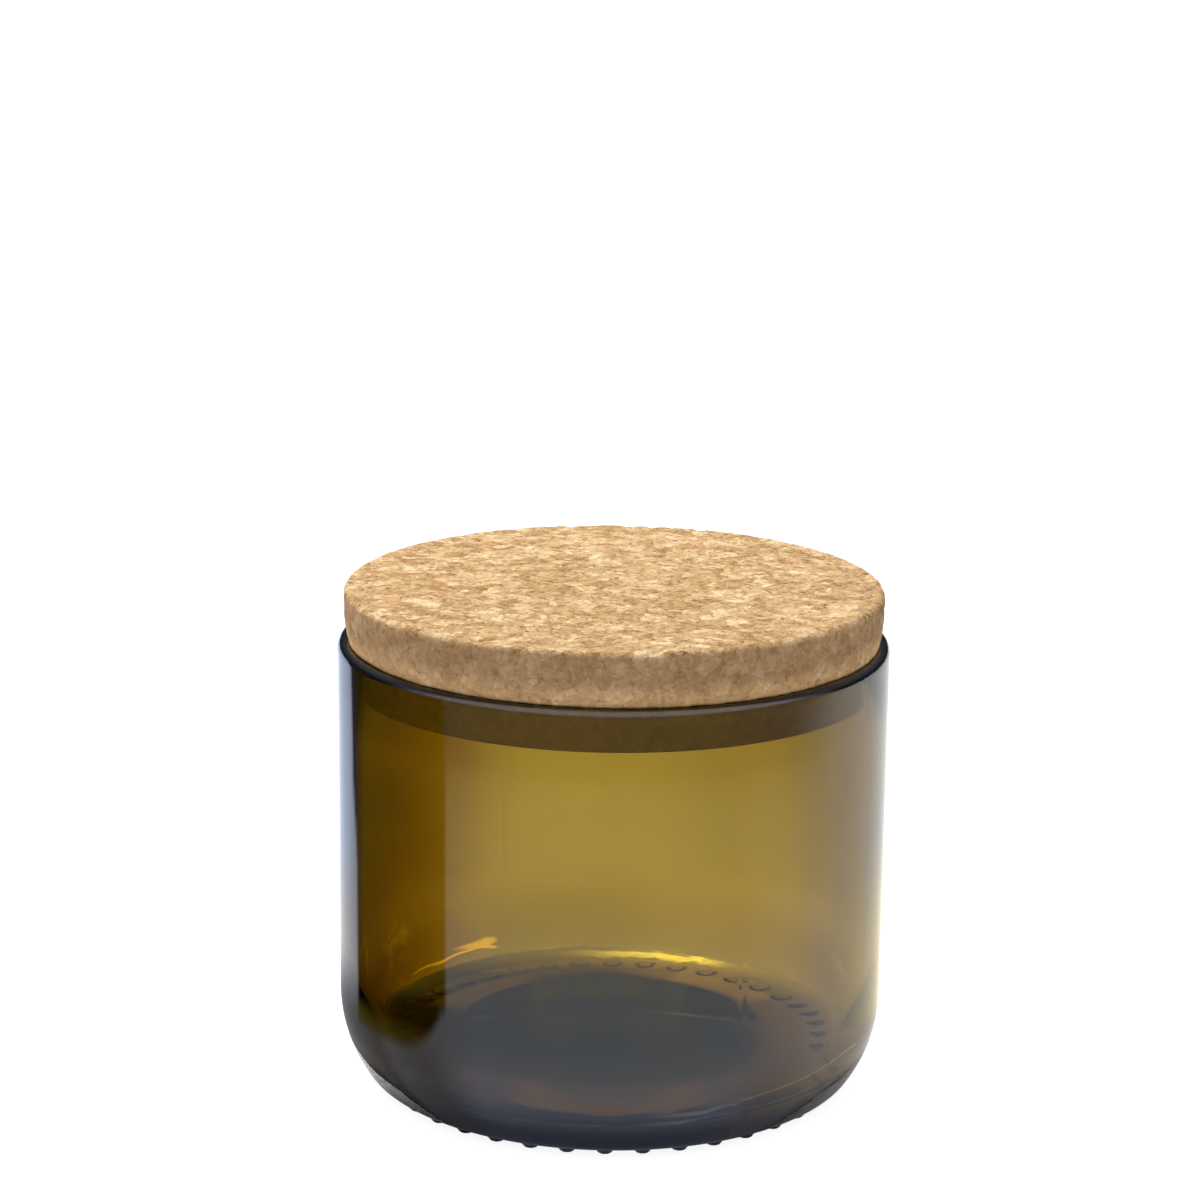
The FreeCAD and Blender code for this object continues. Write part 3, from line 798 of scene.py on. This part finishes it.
# colours behind the jar: the slope's stops times a rise by distance, plain in front and far to the sides
def throughBack(spots, radius):
    rig = throughRig
    eye = np.array(cameraView["place"][:2]) / mm
    slope = (spots[..., 0] - eye[0]) / np.maximum(spots[..., 1] - eye[1], 1.0)
    beside = ease(np.abs(slope), *rig["besideSlope"]) * ease(radius, *rig["besideFrom"])
    behind = ease(spots[..., 1], *rig["frontEnd"]) * (1.0 - beside)
    back = 1.0 + (blendStops(rig["backStops"], slope) - 1.0) * behind[..., None]
    left = 1.0 - ease(slope, *rig["leftSlope"])
    middle = easeBand(slope, *rig["middleSlope"])
    rise = 1.0 + left * (np.interp(radius, *rig["leftRise"]) - 1.0)
    rise = rise + middle * (np.interp(radius, *rig["middleRise"]) - 1.0)
    back = back * rise[..., None]
    nearEnd, farEnd, shade = rig["nearShade"]
    back = back * (shade + (1.0 - shade) * ease(radius, nearEnd, farEnd))[..., None]
    nearRise = np.interp(slope, *rig["nearRise"]) - 1.0
    return back * (1.0 + nearRise * (1.0 - ease(radius, *rig["nearFrom"])))[..., None]


# shade of the knurl bars' feet: full inside a rounded slot shape round each bar, on the turns that show it
def barShade(turn, radius):
    rig = throughRig
    pitch = 360.0 / jarShape["knurls"]
    across = np.radians((turn - jarShape["knurlTurn"] + pitch / 2.0) % pitch - pitch / 2.0) * radius
    barR = jarHigh[0] - jarShape["heelInset"] - jarShape["knurlInset"]
    gap = np.hypot(across, np.maximum(np.abs(radius - barR) - rig["spotLength"], 0.0))
    shown = 1.0 - ease(turn, *rig["spotTurn"][:2]) + ease(turn, *rig["spotTurn"][2:])
    return rig["spotShade"] * (1.0 - ease(gap, *rig["spotEdge"])) * shown


# a round sheet on the floor: inner colours by radius times turn, outer ones by slope, plus streaks of light
def makeThroughCard():
    rig = throughRig
    angle = np.radians(np.linspace(0.0, 360.0, rig["columns"] + 1))
    radius = [np.arange(*step) for step in rig["radiusSteps"]]
    radius = np.concatenate([*radius, np.geomspace(*rig["radiusFar"])])[:, None]
    spots = np.stack([radius * np.cos(angle), radius * np.sin(angle)], -1)
    turn = np.degrees(angle)
    shiftTurn, shiftSpread, shift = rig["backShift"]
    shift = shift * np.exp(-((turn - shiftTurn) / shiftSpread) ** 2)
    base = blendStops(rig["baseStops"], radius - shift) * np.interp(turn, *rig["turns"])[:, None]
    colours = base + (throughBack(spots, radius) - base) * ease(radius, *rig["backFrom"])[..., None]

    # painted shade in a wavy dark line and at the bars' feet, painted light in a broken bright arc and plain
    # bands
    wavy = radius + rig["lineWave"] * sum(np.sin(count * turn + start) for count, start in rig["lineWaves"])
    start, middle, end = rig["lineRadius"]
    line = easeBand(wavy, start, middle, middle, end)
    colours = colours * (1.0 - (1.0 - rig["lineShade"]) * line)[..., None]
    colours = colours * (1.0 - barShade(turn, radius))[..., None]
    arc = easeBand(wavy, *rig["arcRadius"]) * easeBand(turn, *rig["arcTurn"])
    count, pushes = rig["arcWave"]
    arc = arc * (1.0 + rig["arcBreak"] * pushedSine(radius, count, turn, pushes))
    colours = colours + arc[..., None] * np.array(rig["arcGlow"])
    for bandRadius, bandTurn, glow in rig["bands"]:
        band = easeBand(radius, *bandRadius) * easeBand(turn, *bandTurn)
        colours = colours + glow * band[..., None]

    # streaks: full along a line, eased to nothing at the half width, dimmer toward the first end
    for start, end, widths, glow in rig["streaks"]:
        line = np.array(end) - np.array(start)
        share = ((spots - np.array(start)) @ line) / (line @ line)
        gap = np.linalg.norm(spots - np.array(start) - np.clip(share, 0.0, 1.0)[..., None] * line, axis=-1)
        width = np.interp(share, (0.0, 1.0), widths)
        strength = 1.0 - ease(gap, rig["streakCore"] * width, width)
        strength = strength * np.interp(share, *rig["streakRise"])
        colours = colours + strength[..., None] * np.array(glow)
    makeCard("throughCard", atHeight(spots, rig["height"]), colours, False)


# a light in front of the jar that only shows through the glass: corners in mm, glow
frontPanel = {
    "corners": (
        ((-500.0, -600.0, 250.0), (500.0, -600.0, 250.0)),
        ((-500.0, -450.0, 800.0), (500.0, -450.0, 800.0)),
    ),
    "glow": (4.0, 6.0, 3.4),
}


# the panel: four corners of one glow
def makeFrontPanel():
    glow = np.tile(frontPanel["glow"], (2, 2, 1))
    makeCard("frontPanel", np.array(frontPanel["corners"]), glow, False)


# floor, dome and lamp, sizes in metres; rises are the height of a direction's unit vector
studio = {
    "floorSize": 24.0, "floorColour": (0.68, 0.68, 0.68), "floorGlow": 0.9, "floorShade": 0.25,
    "domeRise": (0.4, 0.95), "domeGlow": (0.55, 1.75),
    "mirrorRise": (0.2, 0.55), "mirrorGlow": (0.35, 2.0),
    "mirrorTint": (0.8, 0.88, 1.1), "mirrorBack": (-0.2, 0.3), "mirrorDim": (1.0, 0.2),
    "backdrop": 1.0, "backdropRise": (0.12, 0.25), "backdropGlow": (1.0, 0.1),
    "keyPlace": (-0.45, 0.65, 0.75), "keySize": 0.5, "keyPower": 14.0,
}


# pale floor: one square, and the camera sees it brighter than the light on the jar bounces from it
def makeFloor():
    half = studio["floorSize"] / 2.0
    corners = [(-half, -half, 0.0), (half, -half, 0.0), (half, half, 0.0), (-half, half, 0.0)]
    mesh = bpy.data.meshes.new("floor")
    mesh.from_pydata(corners, [], [(0, 1, 2, 3)])
    floor = bpy.data.objects.new("floor", mesh)
    bpy.context.collection.objects.link(floor)
    material = bpy.data.materials.new("paleFloor")
    material.use_nodes = True
    tree = material.node_tree
    tree.nodes.remove(tree.nodes["Principled BSDF"])
    shade = studio["floorShade"]
    paper = makeNode(tree, "BsdfDiffuse", Color=(*studio["floorColour"], 1.0))
    soft = makeNode(tree, "BsdfDiffuse", Color=(shade, shade, shade, 1.0))
    glow = makeNode(tree, "Emission", Strength=studio["floorGlow"])
    lit = makeNode(tree, "AddShader")
    link(tree, soft.outputs["BSDF"], lit.inputs[0])
    link(tree, glow.outputs["Emission"], lit.inputs[1])
    path = makeNode(tree, "LightPath")
    seen = makeNode(tree, "MixShader")
    link(tree, path.outputs["Is Camera Ray"], seen.inputs["Fac"])
    link(tree, paper.outputs["BSDF"], seen.inputs[1])
    link(tree, lit.outputs["Shader"], seen.inputs[2])
    link(tree, seen.outputs["Shader"], tree.nodes["Material Output"].inputs["Surface"])
    mesh.materials.append(material)


# the dome: its glow rises with the height of the direction, by one range for plain rays, one for mirrored
# rays, which is dimmer at the back, and one for rays through the glass; the camera sees a white backdrop
def makeDome():
    world = bpy.data.worlds.new("studio")
    bpy.context.scene.world = world
    world.use_nodes = True
    tree = world.node_tree
    background = tree.nodes["Background"]
    place = makeNode(tree, "TexCoord")
    parts = makeNode(tree, "SeparateXYZ")
    link(tree, place.outputs["Generated"], parts.inputs["Vector"])
    rise = parts.outputs["Z"]
    path = makeNode(tree, "LightPath")
    dome = rangeNode(tree, rise, *studio["domeRise"], *studio["domeGlow"])
    gloss = rangeNode(tree, rise, *studio["mirrorRise"], *studio["mirrorGlow"])
    rear = rangeNode(tree, parts.outputs["Y"], *studio["mirrorBack"], *studio["mirrorDim"])
    behind = rangeNode(tree, rise, *studio["backdropRise"], *studio["backdropGlow"])
    glow = mixNumber(tree, path.outputs["Is Glossy Ray"], dome, mathNode(tree, "MULTIPLY", gloss, rear))
    glow = mixNumber(tree, path.outputs["Is Transmission Ray"], glow, behind)
    glow = mixNumber(tree, path.outputs["Is Camera Ray"], glow, studio["backdrop"])
    link(tree, glow, background.inputs["Strength"])
    tint = mixColour(tree, path.outputs["Is Glossy Ray"], (1.0, 1.0, 1.0), studio["mirrorTint"])
    link(tree, tint, background.inputs["Color"])


# one soft key light, turned to face the origin
def makeKey():
    lamp = bpy.data.lights.new("key", "AREA")
    lamp.size = studio["keySize"]
    lamp.energy = studio["keyPower"]
    key = bpy.data.objects.new("key", lamp)
    key.location = studio["keyPlace"]
    direction = -key.location
    key.rotation_euler = direction.to_track_quat("-Z", "Y").to_euler()
    key.visible_glossy = False
    key.visible_transmission = False
    bpy.context.collection.objects.link(key)


cameraView = {
    "place": (-0.00213, -0.47867, 0.1933),
    "pitch": 75.9, "roll": 0.62,
    "lens": 99.78, "sensor": 36.0,
}


# camera at the photo's place: tilted down from level by pitch, then turned about its own axis by roll
def makeCamera():
    lens = bpy.data.cameras.new("camera")
    lens.lens = cameraView["lens"]
    lens.sensor_width = cameraView["sensor"]
    camera = bpy.data.objects.new("camera", lens)
    tilt = Matrix.Rotation(math.radians(cameraView["pitch"]), 4, "X")
    roll = Matrix.Rotation(math.radians(cameraView["roll"]), 4, "Z")
    camera.matrix_world = Matrix.Translation(cameraView["place"]) @ tilt @ roll
    bpy.context.collection.objects.link(camera)
    bpy.context.scene.camera = camera


makeJar()
print("jar done")
makeLid()
print("lid done")
makeFloor()
makeDome()
makeKey()
makeMirrorCard()
makeThroughCard()
makeFrontPanel()
makeCamera()
bpy.context.scene.view_settings.view_transform = "Standard"
print("studio done")
